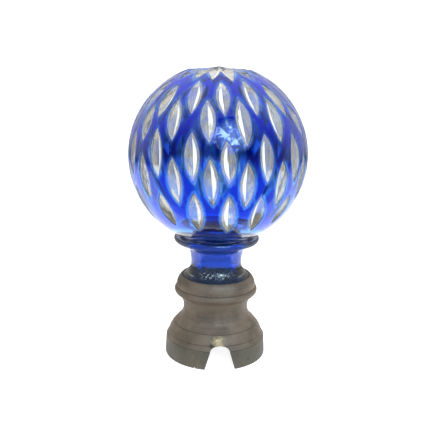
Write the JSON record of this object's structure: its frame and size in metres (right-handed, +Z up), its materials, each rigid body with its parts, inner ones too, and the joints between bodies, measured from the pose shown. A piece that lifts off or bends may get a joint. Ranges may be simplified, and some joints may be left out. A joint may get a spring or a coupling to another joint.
{
  "type": "stair newel ball",
  "caption": "Hollow ball of blue cased glass with staggered clear wheel cuts, on a collared neck set in a turned brass base with an arched notch in its foot.",
  "frame": {"origin": "centre of the base's underside, on the top of the newel", "axes": "+Z up through the ball; -Y is the front, where the notch is, turned 6 degrees towards +X"},
  "size_m": [0.1095, 0.11, 0.1827],
  "materials": {
    "cased_glass": "polished, cobalt blue over clear, with polished clear cuts",
    "patinated_brass": "turned, with a dull brown patina"
  },
  "bodies": {
    "root": {"glass_ball": "cased_glass", "brass_base": "patinated_brass"}
  },
  "joints": []
}
